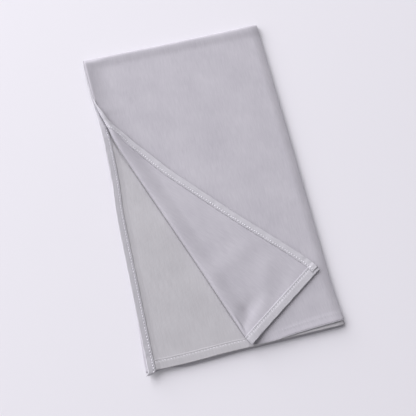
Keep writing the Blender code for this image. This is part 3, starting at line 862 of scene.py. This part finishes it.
def top_row(kind, value):
    """One row of the top layer, from under its lengthwise fold to its rim."""
    flat = kind == "flat"
    at = FOLD_START - value if flat else FOLD_START + 8.0 * MM
    radius = (TOP_LIFT - SECOND_LIFT) / 2.0
    edge = float(right_edge(FOLD_START - value if flat else FOLD_START))
    edge -= radius + 0.5 * MM
    turns = np.radians(np.linspace(UNDER_TURN, 0.0, UNDER, endpoint=False))
    start_x, start_y, lean, roll_radius, turn, rim_x, rim_y, rise = (
        float(along(MARGIN, column, at / MM)) for column in range(1, 9))
    start_x, start_y, roll_radius = start_x * MM, start_y * MM, roll_radius * MM
    rim_x, rim_y, rise = rim_x * MM, rim_y * MM, rise * MM
    near = edge - STACK_ROUNDING * np.linspace(0.0, 1.0, 12) ** 1.3
    wide = np.linspace(near[-1], start_x + 14.0 * MM, 56)[1:]
    last = np.linspace(start_x + 14.0 * MM, start_x, 10)[1:]
    x = np.concatenate([np.full(UNDER, edge), near, wide, last])
    lifts = np.full(len(x), TOP_LIFT)
    lifts[:UNDER] = SECOND_LIFT + radius + radius * np.cos(turns)
    if not flat:
        points = over_stack(x, None, value, lifts)
        points[:UNDER, 0] += radius * np.sin(turns)
        beyond = np.linspace(start_x, rim_x, 81)[1:]
        return np.concatenate([points, over_stack(beyond, None, value, TOP_LIFT)])
    # The flat part, which swells up towards the turned corner.
    y = row_line(x, value, TOP_END)
    toward = ease((near[-1] - x) / (near[-1] - start_x))
    y = y + toward * (start_y - y[-1])
    band = value - (CLOTH_LENGTH - END_HEM)
    upper = x[UNDER:]
    shown = ease((upper - start_x - 15.0 * MM) / (40.0 * MM))
    lifts[UNDER:] += HEM_THICKER * ease((band + 3.0 * MM) / (6.0 * MM)) * shown
    lifts[UNDER:] += END_LIFT * ease((band - 3.0 * MM) / (9.0 * MM)) * shown
    swell, reach = (float(sized(SWELL, column, at)) for column in (1, 2))
    lifts[UNDER:] += swell * np.clip((start_x + reach - upper) / reach, 0.0, 1.0) ** 2
    soft = 0.12 * MM * np.sin(upper / 0.023 + at / 0.052)
    soft *= np.sin(at / 0.037 + upper / 0.08)
    lifts[UNDER:] += soft * ease((edge - upper) / (20.0 * MM))
    points = over_stack(x, y, None, lifts)
    points[:UNDER, 0] += radius * np.sin(turns)
    # The fold of the turned corner, which starts with the slope of the swell.
    lean, turn = math.radians(lean), math.radians(turn)
    tilt = min(math.atan(2.0 * swell / reach), turn)
    base = points[-1].copy()
    angles = tilt + (turn - tilt) * np.linspace(0.0, 1.0, 17)[1:, None]
    out = np.array((-math.cos(lean), -math.sin(lean), 0.0))
    down = np.array((math.sin(lean), -math.cos(lean), 0.0))
    roll = base + out * roll_radius * (np.sin(angles) - math.sin(tilt))
    roll -= down * roll_radius * (angles - tilt) * math.tan(lean)
    roll[:, 2] += roll_radius * (math.cos(tilt) - np.cos(angles[:, 0]))
    # The cloth beyond it, which settles on the layer and ends at the rim.
    end = roll[-1]
    rim = np.array([rim_x, rim_y, base[2] + rise])
    width = float(np.linalg.norm(rim[:2] - end[:2]))
    length = float(np.linalg.norm(rim - end))
    hem_share = max(1.0 - SIDE_HEM / length, 0.35)
    beside = hem_share - min(4.0 * MM / length, 0.2 * hem_share)
    shares = np.concatenate([np.linspace(0.0, 1.0, 37)[1:] ** 1.25 * beside,
                             np.linspace(beside, hem_share, 15)[1:],
                             np.linspace(hem_share, 1.0, 15)[1:]])
    folded = float(ease((math.degrees(turn) - 120.0) / 60.0))
    flap = end + (rim - end) * shares[:, None]
    rested = ease(shares * width / max(min(width, SETTLE), MM))
    drop = (end[2] - rim[2]) * (1.0 - rested) + rim[2]
    flap[:, 2] += folded * (drop - flap[:, 2])
    gap = (1.0 - shares) * length
    sunk = folded * float(ease((length - 14.0 * MM) / (10.0 * MM)))
    flap[:, 2] -= sunk * RIM_GROOVE * np.exp(-((gap - SIDE_HEM - 0.8 * MM) / MM) ** 2)
    curl = 1.0 - float(ease((math.degrees(turn) - 18.0) / 24.0))
    curl *= min(1.0, rise / (2.6 * MM))
    flap[:, 2] -= curl * RIM_CURL * np.clip(1.0 - gap / RIM_WIDTH, 0.0, 1.0) ** 2
    calm = np.minimum(1.0, 4.0 * (1.0 - shares))
    flap[:, 2] += folded * crease_height(flap[:, 0], flap[:, 1]) * calm
    return np.concatenate([points, roll, flap])


top_places = row_places(10, [(0.0, 40.0, 10), (40.0, 130.0, 44), (130.0, 425.0, 70),
                             (425.0, 454.0, 24)])
top_points = np.array([top_row(*place) for place in top_places])
top_cloth = cloth_lengths(top_points, top_places)
top = sheet_mesh("top_ply", top_points, top_cloth, grey, PLY)
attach(top, "root")
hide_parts("top_layer")


# The top layer's hems.
# The same turned edges, on the side and end of the turned-back corner.  The
# side hem crosses over the end hem, and stops just short of the edge.
top_normals = facing(top_points)
if top_normals[40, 40, 2] > 0:
    top_normals = -top_normals
SHORT = -3
down_cloth = np.array([v if k == "flat" else 0.0 for k, v in top_places])
side_raise = 0.75 * MM * ease((down_cloth - (CLOTH_LENGTH - END_HEM)) / (3.0 * MM))
top_side = turned_hem(
    "corner_side_strip", top_points[:SHORT, ::-1], top_normals[:SHORT, ::-1],
    top_cloth[:SHORT, ::-1], SIDE_HEM, 7.0 * MM, hem_grey, side_raise[:SHORT])
top_end = turned_hem(
    "corner_end_strip", turned(top_points)[UNDER:], turned(top_normals)[UNDER:],
    turned(top_cloth)[UNDER:], END_HEM, 9.5 * MM, hem_grey)
for piece in (top_side[0], top_end[0]):
    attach(piece, "root")
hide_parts("corner_side_hem")
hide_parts("corner_end_hem")


# The top layer's stitches.
# The same thread, in dots and dashes on the corner's two hems.  Right of the
# corner the end hem is underneath, and shows only as a faint grey row.
top_dots = stitches("corner_side_stitches",
                    seam_points(top_side, 6.6 * MM, SIDE_PITCH, 0.22),
                    SIDE_LONG, SIDE_THICK, 0.0, white)
top_dashes = stitches("corner_end_stitches",
                      seam_points(top_end, 8.8 * MM, END_PITCH, 0.42),
                      4.4 * MM, 0.34 * MM, 0.85, white)
deep = np.array((0.0, 4.5, 9.0, 13.5)) * MM
right_side = slice(12, 62)
lines, ups = [], []
for line, up in zip(turned(top_points)[right_side], -turned(top_normals)[right_side]):
    reach = lengths(line)
    lines.append([[np.interp(d, reach, line[:, k]) for k in range(3)] for d in deep])
    ups.append([up[0]] * len(deep))
top_marks = stitches("top_end_stitches",
                     seam_points((None, np.array(lines), np.array(ups), deep),
                                 9.0 * MM, END_PITCH, 0.03, 0.97),
                     4.6 * MM, 0.36 * MM, 0.8, hem_grey)
for piece in (top_dots, top_dashes, top_marks):
    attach(piece, "root")


# The surface.
# A smooth tabletop, painted a pale cool white, wide enough to fill the
# picture.  The paint is matt, and a faint glow is painted into it: painted
# light, not a lamp, that lifts the shadows beside the scarf.
floor_mesh = bpy.data.meshes.new("surface")
floor_mesh.from_pydata([(-3, -3, 0), (3, -3, 0), (3, 3, 0), (-3, 3, 0)], [],
                       [(0, 1, 2, 3)])
floor = bpy.data.objects.new("surface", floor_mesh)
bpy.context.collection.objects.link(floor)
surface = bpy.data.materials.new("tabletop_with_painted_glow")
surface.use_nodes = True
surface_shader = surface.node_tree.nodes["Principled BSDF"]
surface_shader.inputs["Base Color"].default_value = linear("#DEDCE2")
surface_shader.inputs["Roughness"].default_value = 0.9
# Painted light: a faint glow of the tabletop's own that lifts the shadows beside the
# scarf.
surface_shader.inputs["Emission Color"].default_value = linear("#F6F4FA")
surface_shader.inputs["Emission Strength"].default_value = 0.05
floor.data.materials.append(surface)


# The light.
# A very broad soft light from the far left, as from a large window, weaker
# ones from the left and from the hemmed end, and a dim pale surround.
def round_light(name, place, size, watts):
    """A round soft light that faces the scarf."""
    data = bpy.data.lights.new(name, "AREA")
    data.shape = "DISK"
    data.size = size
    data.energy = watts
    data.color = linear("#FDFCFF")[:3]
    light = bpy.data.objects.new(name, data)
    light.location = place
    towards = -light.location.normalized()
    light.rotation_euler = towards.to_track_quat("-Z", "Y").to_euler()
    bpy.context.collection.objects.link(light)


round_light("soft_light", (-3.10, 5.03, 3.60), 7.4, 800.0)
round_light("side_light", (-4.30, 0.60, 2.20), 3.0, 45.0)
round_light("fill_light", (1.60, -4.30, 2.00), 2.6, 15.0)
world = bpy.data.worlds.new("surround")
world.use_nodes = True
surround = world.node_tree.nodes["Background"]
surround.inputs["Color"].default_value = linear("#F6F5F8")
surround.inputs["Strength"].default_value = 0.28
bpy.context.scene.world = world
